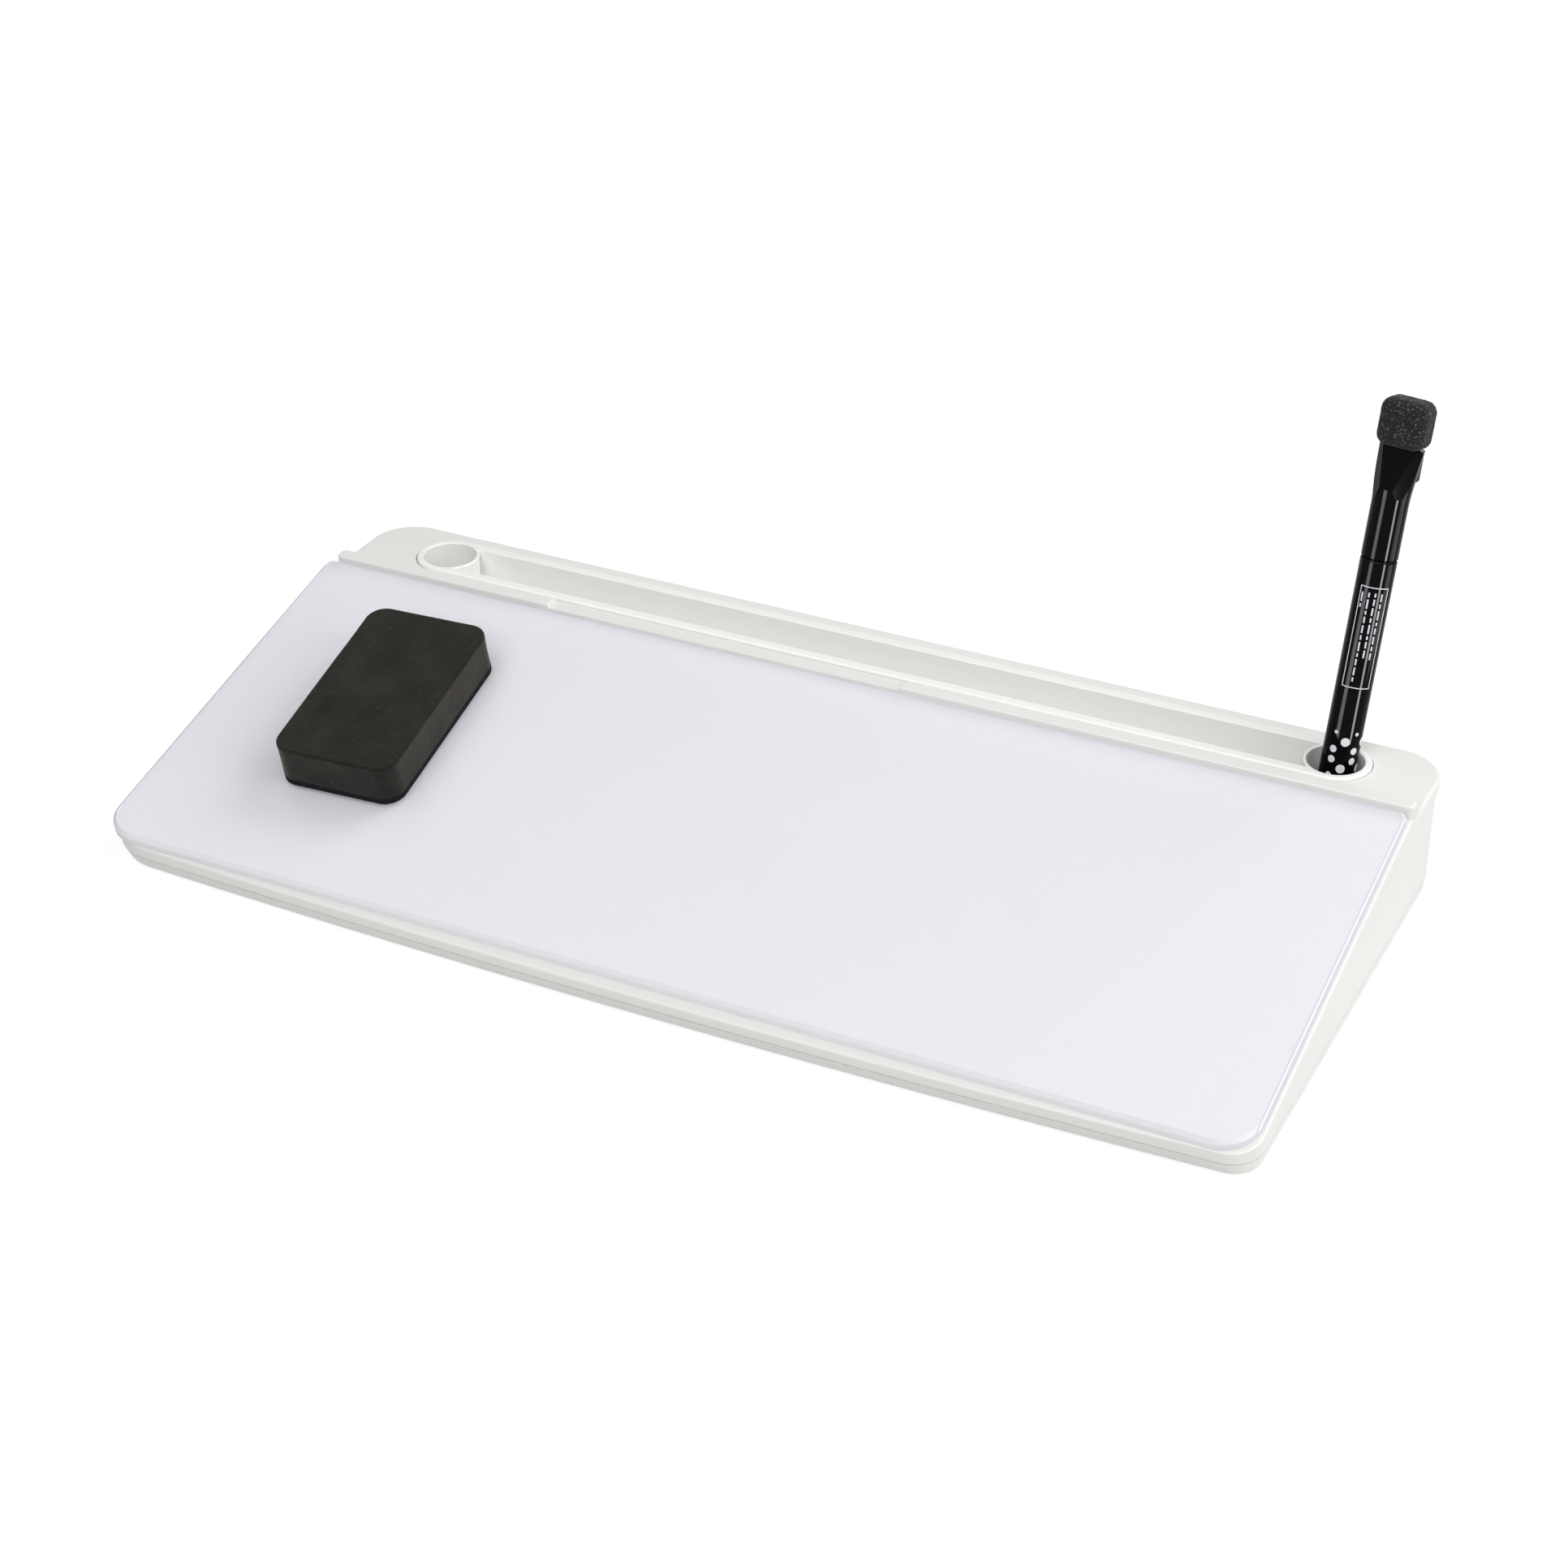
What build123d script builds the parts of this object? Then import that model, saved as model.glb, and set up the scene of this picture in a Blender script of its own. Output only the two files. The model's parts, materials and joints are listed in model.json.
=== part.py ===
from build123d import *
import math
import os

# A wedge-shaped desktop glass whiteboard: sloping magnetic glass on a moulded shell,
# a drop-in pen tray behind it, a capped marker standing in the tray and a foam eraser.
# Millimetres. +X is the writer's right, +Y is away from the writer, +Z is up.

# ---- driving dimensions -------------------------------------------------------------
GLASS_W = 400.0          # glass, side to side
GLASS_L = 148.4          # glass, measured up the slope
GLASS_T = 3.8            # glass thickness
GLASS_FRONT_R = 13.0     # plan radius of the two front glass corners
GLASS_REAR_R = 4.0
ARRIS = 1.2              # ground bevel round the top of the glass
UNDER_ARRIS = 0.5        # and round its underside
TILT = 13.0              # slope of the glass, degrees
FOOT_H = 1.0             # the feet hold the case this far off the desk
GLASS_Z = FOOT_H + 8.1   # underside of the glass at its front edge

HALF_W = 201.0           # half the width of the case
BOW = 4.5                # how far the front wall bows towards the writer
FRONT_LEFT_R = 19.0      # plan corner radii of the case
FRONT_RIGHT_R = 10.7
REAR_R = 16.0
REAR_TUCK = 2.2          # the rear wall stands in from the platform's rim by this much
RIM_H = 2.6              # upright part of that rim, and the slant under it
RIM_SLANT = 5.0
DRAFT = 0.3              # moulding draft of the walls, degrees
WALL = 2.2               # shell wall
SEAM_Z = FOOT_H + 4.2    # parting line between the bottom cover and the top shell
SEAM_GAP = 0.25
COVER_TUCK = 1.3         # the bottom cover's wall leans in by this much
COVER_SHIFT = 1.0        # and its foot sits this much to the right
PLATFORM_Z = FOOT_H + 39.1
PLATFORM_T = 2.4
DECK_T = 2.0             # plastic left under the pocket in the sloping deck
DECK_GAP = 0.4           # shadow gap under the glass edge
POCKET = 1.5             # pocket for the steel sheet and its tape
POCKET_IN = 7.0          # how far the pocket keeps in from the glass edge

RAIL_LEFT = -197.2       # stop rail behind the glass, its two ends
RAIL_RIGHT = 200.9
RAIL_D = 5.6             # front to back
RAIL_RISE = 1.1          # above the glass
NOTCH_X = (-110.0, 24.5)
NOTCH_D = 1.3

CUP_X = 167.1            # pen cups
CUP_BEHIND = 28.75       # cup centre line behind the top edge of the glass
CUP_R = 9.5
CUP_WALL = 1.2
FLANGE_R = 12.0          # half width of the tray flange
FLANGE_RISE = 1.0        # above the platform
SEAT_D = 1.2             # counterbore that the flange drops into
TROUGH_HALF = 8.05
TROUGH_D = 24.0
CUP_FLOOR_Z = 11.3
FIT = 0.35               # clearance round the drop-in tray

MARKER_R = 5.95
MARKER_LEAN = 13.0       # lean of the marker, degrees
MARKER_TURN = 8.75       # lean direction, degrees from +Y towards +X
TOUCH = 0.3              # gap left where the marker rests in the cup
JOINT_S = 96.4           # barrel to cap joint, measured up the marker
CAVITY_TOP_S = 117.2     # roof of the cap's cavity, over the nib
CAP_WALL = 0.95
FLARE_S = 114.0          # where the cap starts to widen
FLAT_S = 119.5           # where the flat front of the cap starts
FLAT_LEAN = 19.6         # and how far it leans in, degrees
FACET_S = 117.0          # the bevelled facet at each side of it
FACET_LEAN = 4.0
NECK_S = 132.5           # top of the cap's plastic neck
NECK_R = 7.6             # the neck's radius at its top
NECK_BACK = 5.2          # flat back of the neck, behind the marker's axis
MARKER_L = 148.4
HEAD_W = 16.4            # foam head, side to side
HEAD_D = 11.4            # and front to back
HEAD_BACK = 0.6          # its middle, behind the marker's axis

ERASER_W = 45.6          # wiping block
ERASER_L = 75.8
ERASER_H = 15.7
FELT_T = 2.2
ERASER_R = 7.0
ERASER_U = -133.0        # eraser centre across the glass
ERASER_V = 78.5          # eraser centre up the slope
ERASER_TURN = 2.8          # degrees

# ---- derived ------------------------------------------------------------------------
COS = math.cos(math.radians(TILT))
SIN = math.sin(math.radians(TILT))
SLOPE = Plane(origin=(0, 0, GLASS_Z), x_dir=(1, 0, 0), z_dir=(0, -SIN, COS))
GLASS_REAR_Y = GLASS_L * COS - GLASS_T * SIN
GLASS_TOP_Z = GLASS_Z + GLASS_L * SIN + GLASS_T * COS
RAIL_TOP = GLASS_TOP_Z + RAIL_RISE
RAIL_FRONT = GLASS_REAR_Y + 0.4
RAIL_REAR = RAIL_FRONT + RAIL_D
REAR_Y = GLASS_REAR_Y + 46.75
DECK_REAR = (GLASS_L + 1.0) * COS
CUP_Y = GLASS_REAR_Y + CUP_BEHIND
FLANGE_TOP = PLATFORM_Z + FLANGE_RISE
DATUM_Z = 46.0           # height at which the case has its full plan size
EPS = 0.05               # gap between faces that touch
FAR = 400.0              # longer than anything here, for cutting blocks
BOSS_R = 4.2             # screw bosses under the deck
BOSS_BORE_R = 1.3
PILLAR_R = 5.2           # pillars round the screws in the bottom cover
SCREW_R = 1.25
SCREW_HEAD_R = 2.8
FOOT_R = 6.0
FLOOR_T = 1.8            # floor of the bottom cover


# ---- helpers ------------------------------------------------------------------------
def corner_fillet(face, radius_of):
    """Round the corners of a flat face; radius_of gives the radius from a corner's position."""
    groups = {}
    for corner in face.vertices():
        groups.setdefault(radius_of(corner.X, corner.Y), []).append(corner)
    for radius, corners in groups.items():
        face = fillet(corners_of(face, corners), radius)
    return face


def corners_of(face, wanted):
    """The face's present corners that stand where the wanted corners stood."""
    found = []
    for corner in face.vertices():
        for mark in wanted:
            if abs(corner.X - mark.X) < 1e-6 and abs(corner.Y - mark.Y) < 1e-6:
                found.append(corner)
    return found


def case_outline(grow, rear_in=REAR_TUCK):
    """Plan of the case: bowed front, straight sides and back, four rounded corners.
    The platform's rim is the outline with rear_in 0."""
    side = HALF_W + grow
    front = 0.5 - grow
    back = REAR_Y + grow - rear_in
    outline = make_face([
        ThreePointArc((-side, front), (0, front - BOW), (side, front)),
        Line((side, front), (side, back)),
        Line((side, back), (-side, back)),
        Line((-side, back), (-side, front)),
    ])
    return corner_fillet(outline, lambda x, y: case_corner(x, y, rear_in) + grow)


def case_corner(x, y, rear_in):
    if y > REAR_Y / 2:
        return REAR_R + rear_in
    return FRONT_LEFT_R if x < 0 else FRONT_RIGHT_R


def case_block(grow, low, high):
    """The case outline as a drafted block between two heights, a little wider at the top."""
    slope = math.tan(math.radians(DRAFT))
    bottom = Pos(0, 0, low) * case_outline(grow - (DATUM_Z - low) * slope)
    top = Pos(0, 0, high) * case_outline(grow - (DATUM_Z - high) * slope)
    return loft([bottom, top], ruled=True)


def side_prism(points, half, eased=None, radius=0):
    """A side-view outline, as (y, z) points, pushed out to both sides of the middle.
    One point of it can be eased into a curve."""
    face = make_face(Polyline(*points, close=True))
    if eased:
        face = fillet([v for v in face.vertices() if math.dist((v.X, v.Y), eased) < 1e-6], radius)
    return extrude(Plane.YZ * face, amount=half, both=True)


def slope_rect(width, length, front_r, rear_r):
    """A rounded rectangle lying from the front edge up the slope, flat in XY."""
    face = Pos(0, length / 2) * Rectangle(width, length)
    return corner_fillet(face, lambda x, y: front_r if y < length / 2 else rear_r)


def stadium(half_length, radius, low, high):
    """An upright slab with round ends along X, centred on the cup line."""
    face = SlotCenterToCenter(2 * half_length, 2 * radius)
    return Pos(0, CUP_Y, low) * extrude(face, amount=high - low)


def disc(x, y, low, high, radius):
    return Pos(x, y, (low + high) / 2) * Cylinder(radius, high - low)


def block(x0, x1, y0, y1, z0, z1):
    return Pos((x0 + x1) / 2, (y0 + y1) / 2, (z0 + z1) / 2) * Box(x1 - x0, y1 - y0, z1 - z0)


def edges_at(shape, height):
    """The edges that lie flat at a height."""
    found = []
    for edge in shape.edges():
        if max(abs((edge @ t).Z - height) for t in (0, 0.5, 1)) < 0.01:
            found.append(edge)
    return found


def on_slope(shape):
    """Carry a shape built flat to the sloping plane of the glass's underside."""
    return SLOPE.location * shape


# ---- case ---------------------------------------------------------------------------
SCREWS = [(-180.0, 30.0), (0.0, 26.0), (180.0, 30.0), (-180.0, 134.0), (0.0, 134.0), (180.0, 134.0)]
FEET = [(-182.0, 14.0), (182.0, 14.0), (-182.0, 168.0), (182.0, 168.0)]


def deck_under(y):
    """Height of the underside of the sloping deck."""
    return GLASS_Z + y * SIN / COS - (DECK_GAP + POCKET + DECK_T) / COS


def make_top_shell():
    deck = GLASS_Z - DECK_GAP / COS
    under_slab = PLATFORM_Z - RIM_H - 0.5
    skin = side_prism([
        (-20, SEAM_Z),
        (-20, deck),
        (0, deck),
        (DECK_REAR, deck + DECK_REAR * SIN / COS),
        (DECK_REAR, under_slab),
        (REAR_Y + 20, under_slab),
        (REAR_Y + 20, SEAM_Z),
    ], HALF_W + 10, eased=(0, deck), radius=30)
    body = skin & case_block(0, SEAM_Z - 1, PLATFORM_Z + 4)
    body = soften_shell(body) + make_platform()
    hollow = side_prism([
        (9, -5),
        (9, deck_under(9)),
        (RAIL_FRONT - 4, deck_under(RAIL_FRONT - 4)),
        (RAIL_FRONT, PLATFORM_Z - PLATFORM_T),
        (REAR_Y + 20, PLATFORM_Z - PLATFORM_T),
        (REAR_Y + 20, -5),
    ], HALF_W + 10)
    body -= hollow & case_block(-WALL, SEAM_Z - 2, PLATFORM_Z + 4)
    floor = Pos(0, POCKET_IN) * slope_rect(GLASS_W - 2 * POCKET_IN, GLASS_L - 2 * POCKET_IN, 6, 3)
    body -= on_slope(extrude(floor, amount=-(DECK_GAP + POCKET)))
    body += make_rail()
    body -= stadium(CUP_X, FLANGE_R + FIT, PLATFORM_Z - SEAT_D, PLATFORM_Z + 5)
    body -= tray_core(FIT, PLATFORM_Z)
    for x, y in SCREWS:
        body += disc(x, y, SEAM_Z + 0.1, deck_under(y) + 0.6, BOSS_R)
        body -= disc(x, y, SEAM_Z - 1, min(deck_under(y) - 1.0, SEAM_Z + 10), BOSS_BORE_R)
    return body


def make_platform():
    """The platform's slab; its rounded rim overhangs the rear wall and slants in to it."""
    edge = PLATFORM_Z - RIM_H
    slant = loft([
        Pos(0, 0, edge - RIM_SLANT) * case_outline(-0.3),
        Pos(0, 0, edge) * case_outline(0, 0),
    ], ruled=True)
    slab = extrude(Pos(0, 0, edge) * case_outline(0, 0), amount=RIM_H)
    slab = fillet(edges_at(slab, PLATFORM_Z), 1.4)
    return (slant + slab) & block(-FAR, FAR, DECK_REAR - 1, FAR, 0, FAR)


def soften_shell(body):
    """Round the two raking rims and the front ledge."""
    rake = []
    for edge in body.edges():
        mid = edge @ 0.5
        deck = GLASS_Z - DECK_GAP / COS + max(mid.Y, 0) * SIN / COS
        across = abs((edge @ 0).Y - (edge @ 1).Y) < 0.01 and abs(mid.Y - (edge @ 0).Y) < 0.01
        if abs(mid.Z - deck) < 0.35 and mid.Y < GLASS_L * COS - 1 and not across:
            rake.append(edge)
    return fillet(rake, 0.8)


def make_rail():
    """The stop rail behind the glass, with a long shallow notch in its top."""
    low = PLATFORM_Z - 1.5
    lean = (RAIL_TOP - PLATFORM_Z) * SIN / COS
    rail = side_prism([
        (RAIL_FRONT + lean * 0.5, low),
        (RAIL_FRONT, RAIL_TOP),
        (RAIL_REAR, RAIL_TOP),
        (RAIL_REAR, low),
    ], (RAIL_RIGHT - RAIL_LEFT) / 2)
    rail = Pos((RAIL_RIGHT + RAIL_LEFT) / 2, 0, 0) * rail
    rail = fillet([e for e in rail.edges() if abs((e @ 0).Z - (e @ 1).Z) > 3], 1.8)
    rail -= block(NOTCH_X[0], NOTCH_X[1], RAIL_FRONT - 5, RAIL_REAR + 5,
                  RAIL_TOP - NOTCH_D, RAIL_TOP + 5)
    return fillet(edges_at(rail, RAIL_TOP), 0.7)


def make_bottom_cover():
    """A shallow pan whose wall leans in, with a locating rib inside the top shell."""
    low = FOOT_H
    high = SEAM_Z - SEAM_GAP
    slope = math.tan(math.radians(DRAFT))
    rim = -(DATUM_Z - high) * slope
    chin = rim - COVER_TUCK
    cover = loft([
        Pos(COVER_SHIFT, 0, low) * case_outline(chin),
        Pos(0, 0, high) * case_outline(rim),
    ], ruled=True)
    cover = fillet(edges_at(cover, low), 0.6)
    inside = Pos(COVER_SHIFT / 2, 0, low + FLOOR_T) * case_outline(chin - WALL)
    cover -= extrude(inside, amount=FAR)
    rib = case_block(-WALL - 0.25, low + FLOOR_T - 0.2, SEAM_Z + 1.6)
    rib -= case_block(-WALL - 1.45, low, SEAM_Z + 3)
    cover += rib - block(-FAR, FAR, -10, 14, -1, 60)
    for x, y in FEET:
        cover -= disc(x, y, low - 1, low + 0.6, FOOT_R + 0.2)
    for x, y in SCREWS:
        cover += disc(x, y, low + 0.5, SEAM_Z, PILLAR_R)
        cover -= disc(x, y, low - 1, low + 1.2, SCREW_HEAD_R + 0.5)
        cover -= disc(x, y, low - 1, SEAM_Z + 3, SCREW_R + 0.45)
    return cover


def make_feet():
    pads = []
    for x, y in FEET:
        pad = disc(x, y, 0, FOOT_H + 0.55, FOOT_R)
        pads.append(fillet(edges_at(pad, 0), 0.4))
    return Compound(children=pads)


def make_screws():
    """Pan-head screws up through the bottom cover into the bosses."""
    screws = []
    for x, y in SCREWS:
        head = disc(x, y, FOOT_H + 0.1, FOOT_H + 1.15, SCREW_HEAD_R)
        head -= block(x - 1.5, x + 1.5, y - 0.3, y + 0.3, 0, FOOT_H + 0.7)
        head -= block(x - 0.3, x + 0.3, y - 1.5, y + 1.5, 0, FOOT_H + 0.7)
        shank_top = min(deck_under(y) - 1.4, SEAM_Z + 7)
        screws.append(head + disc(x, y, FOOT_H + 1.0, shank_top, SCREW_R))
    return Compound(children=screws)


# ---- glass and what holds it --------------------------------------------------------
def make_glass():
    slab = extrude(slope_rect(GLASS_W, GLASS_L, GLASS_FRONT_R, GLASS_REAR_R), amount=GLASS_T)
    slab = chamfer(edges_at(slab, GLASS_T), ARRIS)
    return on_slope(chamfer(edges_at(slab, 0), UNDER_ARRIS))


def make_white_backing():
    """The fired white coat on the back of the glass, kept just inside its edge bevel."""
    inset = UNDER_ARRIS + 0.1
    sheet = Pos(0, inset) * slope_rect(GLASS_W - 2 * inset, GLASS_L - 2 * inset,
                                       GLASS_FRONT_R - inset, GLASS_REAR_R - inset)
    return on_slope(Pos(0, 0, -0.22) * extrude(sheet, amount=0.2))


def make_steel_sheet():
    """The thin steel sheet that makes the board magnetic."""
    inset = POCKET_IN + 1.5
    sheet = Pos(0, inset) * slope_rect(GLASS_W - 2 * inset, GLASS_L - 2 * inset, 5, 3)
    return on_slope(Pos(0, 0, -0.75) * extrude(sheet, amount=0.5))


def make_tape():
    """Foam tape pads between the steel sheet and the pocket floor."""
    strips = []
    for u in (-170.0, -85.0, 0.0, 85.0, 170.0):
        strip = Pos(u, GLASS_L / 2, -(DECK_GAP + POCKET) + 0.02) * Rectangle(18, GLASS_L - 40)
        strips.append(on_slope(extrude(strip, amount=POCKET + DECK_GAP - 0.8)))
    return Compound(children=strips)


# ---- drop-in tray -------------------------------------------------------------------
def tray_core(grow, high):
    """The outside of the tray below its flange: two round cups joined by a channel."""
    half = TROUGH_HALF + CUP_WALL + grow
    core = block(-CUP_X, CUP_X, CUP_Y - half, CUP_Y + half, FLANGE_TOP - TROUGH_D - CUP_WALL - grow, high)
    for side in (-1, 1):
        core += disc(side * CUP_X, CUP_Y, CUP_FLOOR_Z - CUP_WALL - grow, high, CUP_R + CUP_WALL + grow)
    return core


def make_tray():
    seat = PLATFORM_Z - SEAT_D + EPS
    flange = stadium(CUP_X, FLANGE_R, seat, FLANGE_TOP)
    body = tray_core(0, seat + 0.5) + fillet(edges_at(flange, FLANGE_TOP), 0.8)
    above = FLANGE_TOP + 5
    inside = block(-CUP_X, CUP_X, CUP_Y - TROUGH_HALF, CUP_Y + TROUGH_HALF, FLANGE_TOP - TROUGH_D, above)
    for side in (-1, 1):
        inside -= disc(side * CUP_X, CUP_Y, 0, above + 1, CUP_R + CUP_WALL)
    body -= inside
    for side in (-1, 1):
        body -= disc(side * CUP_X, CUP_Y, CUP_FLOOR_Z, above, CUP_R)
    lips = []
    for edge in edges_at(body, FLANGE_TOP):
        mid = edge @ 0.5
        from_cup = math.hypot(abs(mid.X) - CUP_X, mid.Y - CUP_Y)
        if abs(mid.Y - CUP_Y) < TROUGH_HALF + 0.1 or from_cup < CUP_R + 0.1:
            lips.append(edge)
    return fillet(lips, 0.5)


# ---- marker, built standing on the origin and then leant in its cup ------------------
def revolve_profile(points):
    """A turned shape from (radius, height) points on one side of the axis."""
    face = make_face(Polyline(*points, close=True))
    return revolve(Plane.XZ * face, axis=Axis.Z)


def make_barrel():
    return revolve_profile([
        (MARKER_R - 1.1, 3.2), (MARKER_R - 0.3, 3.2), (MARKER_R, 3.8), (MARKER_R, JOINT_S - 0.6),
        (MARKER_R - 0.25, JOINT_S - 0.2), (MARKER_R - 1.1, JOINT_S - 0.2)])


def make_end_plug():
    r = MARKER_R
    return revolve_profile([
        (0, 0), (r - 1.2, 0), (r - 0.4, 0.5), (r - 0.15, 1.2), (r - 0.15, 3.15), (r - 1.15, 3.15),
        (r - 1.15, 9.0), (r - 2.2, 9.0), (r - 2.2, 4.5), (0, 4.5)])


def make_reservoir():
    return disc(0, 0, 11.0, 85.0, 3.9)


def make_nib_section():
    """The nib holder: a plug inside the barrel's mouth and a neck that the cap covers."""
    r = MARKER_R - 1.15
    return revolve_profile([
        (2.1, JOINT_S - 9.0), (r, JOINT_S - 9.0), (r, JOINT_S - 0.1), (MARKER_R - 0.3, JOINT_S - 0.1),
        (MARKER_R - 0.3, JOINT_S), (4.3, JOINT_S), (4.3, JOINT_S + 12.0), (3.0, JOINT_S + 17.0),
        (2.1, JOINT_S + 17.0)])


def make_nib():
    body = Pos(0, 0, JOINT_S + 6.0) * Cylinder(2.05, 28.0)
    tip = [e for e in body.edges() if (e @ 0.5).Z > JOINT_S + 19]
    return fillet(tip, 1.6)


def make_cap_shell():
    """The cap: a round tube that flares into a neck with a flat front and two bevelled facets."""
    low = JOINT_S + 0.25
    flare = Spline((MARKER_R, FLARE_S), (6.3, FLARE_S + 6), (6.95, FLARE_S + 12), (NECK_R, NECK_S),
                   tangents=((0, 1), (0.12, 1)))
    outline = Wire([
        Line((0, low), (MARKER_R - 0.3, low)),
        Line((MARKER_R - 0.3, low), (MARKER_R, low + 0.3)),
        Line((MARKER_R, low + 0.3), (MARKER_R, FLARE_S)),
        flare,
        Line((NECK_R, NECK_S), (0, NECK_S)),
        Line((0, NECK_S), (0, low)),
    ])
    body = revolve(Plane.XZ * make_face(outline), axis=Axis.Z)
    body -= facet_cut(0, MARKER_R, FLAT_S, FLAT_LEAN)
    for turn in (-45, 45):
        body -= facet_cut(turn, MARKER_R, FACET_S, FACET_LEAN)
    body -= block(-20, 20, NECK_BACK, 20, FLAT_S - 1.0, NECK_S + 1)
    body += Pos(0, 1.9, NECK_S - 0.5) * extrude(RectangleRounded(7.0, 4.4, 1.0), amount=8.5)
    body -= disc(0, 0, low - 1, CAVITY_TOP_S, MARKER_R - CAP_WALL)
    body -= Pos(0, 2.7, 119.8) * extrude(Rectangle(7.4, 3.0), amount=8.4)
    return body


def facet_cut(turn, reach, start, slope):
    """A block that cuts a facet: it meets the cap at height start and leans in above it.
    turn is the facet's direction from the front, towards +X."""
    slab = Pos(0, -reach - 10, 0) * Box(40, 20, 120)
    leaning = Pos(0, -reach, start) * Rot(-slope, 0, 0) * Pos(0, reach, 60) * slab
    return Rot(0, 0, turn) * (leaning & block(-40, 40, -40, 40, start, start + 60))


def make_cap_seal():
    """The soft sleeve inside the cap that keeps the nib from drying."""
    ring = Circle(MARKER_R - CAP_WALL - EPS) - Circle(4.42)
    return Pos(0, 0, JOINT_S + 3.0) * extrude(ring, amount=8.0)


def make_cap_magnet():
    return Pos(0, 2.7, 120.0) * extrude(Rectangle(7.0, 2.6), amount=8.0)


def make_magnet_plate():
    """The flat plate on the back of the cap, over the magnet."""
    thick = 1.9
    plate = Pos(0, NECK_BACK + EPS + thick / 2, 0) * Box(10.6, thick, 10.2)
    rounded = fillet([e for e in plate.edges() if abs((e @ 0).Y - (e @ 1).Y) > 1.5], 1.6)
    return Pos(0, 0, 126.0) * rounded


def make_cap_foam():
    """The foam head: a rounded block with a socket over the cap's tenon."""
    low = NECK_S + 0.1
    head = Pos(0, HEAD_BACK, (low + MARKER_L) / 2) * Box(HEAD_W, HEAD_D, MARKER_L - low)
    head = fillet([e for e in head.edges() if abs((e @ 0).Y - (e @ 1).Y) > 5], 3.6)
    head = fillet([e for e in head.edges() if abs((e @ 0).Y - (e @ 1).Y) < 0.01], 2.6)
    socket = Pos(0, 1.9, NECK_S) * extrude(RectangleRounded(7.1, 4.5, 1.0), amount=8.2)
    return head - socket


def marker_axis():
    lean = math.radians(MARKER_LEAN)
    turn = math.radians(MARKER_TURN)
    return Vector(math.sin(lean) * math.sin(turn), math.sin(lean) * math.cos(turn), math.cos(lean))


def lean_marker(shape):
    """Stand a marker piece in the right-hand cup, touching its floor and its rim."""
    lean = math.radians(MARKER_LEAN)
    turn = math.radians(MARKER_TURN)
    reach = CUP_R - TOUCH - MARKER_R * math.cos(lean)
    foot = Vector(CUP_X - reach * math.sin(turn), CUP_Y - reach * math.cos(turn),
                  CUP_FLOOR_Z + TOUCH + MARKER_R * math.sin(lean))
    place = Plane(origin=foot, x_dir=(math.cos(turn), -math.sin(turn), 0), z_dir=marker_axis())
    return place.location * shape


# ---- eraser, built flat and then laid on the glass -----------------------------------
def eraser_slab(low, high, inset):
    face = RectangleRounded(ERASER_W - 2 * inset, ERASER_L - 2 * inset, ERASER_R - inset)
    return Pos(0, 0, low) * extrude(face, amount=high - low)


def eraser_magnet_spots():
    return [(-10.0, -24.0), (10.0, -24.0), (-10.0, 24.0), (10.0, 24.0)]


def make_eraser_foam():
    body = eraser_slab(FELT_T, ERASER_H, 0)
    body = fillet(edges_at(body, ERASER_H), 0.5)
    for x, y in eraser_magnet_spots():
        body -= disc(x, y, FELT_T - 1, FELT_T + 2.2, 5.1)
    return body


def make_eraser_felt():
    return eraser_slab(0.05, FELT_T - 0.03, 0.15)


def make_eraser_magnets():
    discs = [disc(x, y, FELT_T + 0.1, FELT_T + 2.1, 5.0) for x, y in eraser_magnet_spots()]
    return Compound(children=discs)


def lay_eraser(shape):
    return on_slope(Pos(ERASER_U, ERASER_V, GLASS_T) * Rot(0, 0, ERASER_TURN) * shape)


# ---- assembly -----------------------------------------------------------------------
def build_all():
    nodes = {
        "bottom_cover": make_bottom_cover(),
        "top_shell": make_top_shell(),
        "rubber_feet": make_feet(),
        "case_screws": make_screws(),
        "glass_panel": make_glass(),
        "white_backing": make_white_backing(),
        "steel_sheet": make_steel_sheet(),
        "mounting_tape": make_tape(),
        "tray_insert": make_tray(),
        "marker_barrel": lean_marker(make_barrel()),
        "marker_end_plug": lean_marker(make_end_plug()),
        "ink_reservoir": lean_marker(make_reservoir()),
        "nib_section": lean_marker(make_nib_section()),
        "marker_nib": lean_marker(make_nib()),
        "cap_shell": lean_marker(make_cap_shell()),
        "cap_seal": lean_marker(make_cap_seal()),
        "cap_magnet": lean_marker(make_cap_magnet()),
        "magnet_plate": lean_marker(make_magnet_plate()),
        "cap_foam": lean_marker(make_cap_foam()),
        "eraser_foam": lay_eraser(make_eraser_foam()),
        "eraser_felt": lay_eraser(make_eraser_felt()),
        "eraser_magnets": lay_eraser(make_eraser_magnets()),
    }
    return nodes


def main():
    os.makedirs("parts", exist_ok=True)
    nodes = build_all()
    boxes = [shape.bounding_box() for shape in nodes.values()]
    low_y = min(box.min.Y for box in boxes)
    high_y = max(box.max.Y for box in boxes)
    low_x = min(box.min.X for box in boxes)
    high_x = max(box.max.X for box in boxes)
    # the shared origin is the middle of the whole assembly's footprint, on the desk
    shift = Pos(-(low_x + high_x) / 2, -(low_y + high_y) / 2, 0)
    print("shift", -(low_x + high_x) / 2, -(low_y + high_y) / 2)
    print("marker axis", marker_axis())
    for name, shape in nodes.items():
        export_step(shift * shape, f"parts/{name}.step")
        print(name, round(shape.volume, 1), "solids", len(shape.solids()))


main()
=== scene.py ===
# %% [markdown]
# # A desktop glass whiteboard
# The CAD model gives every part its shape, size and place. This script gives the parts their
# finishes, models the soft foam pieces and the print that CAD leaves plain, and sets up the studio.
# The frame is loaded first, because the boxes of its parts place and size the pieces below. Nothing
# below may grow past it.

# %% Load the frame
import json
import math

import bpy
from mathutils import Matrix, Vector, noise


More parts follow.
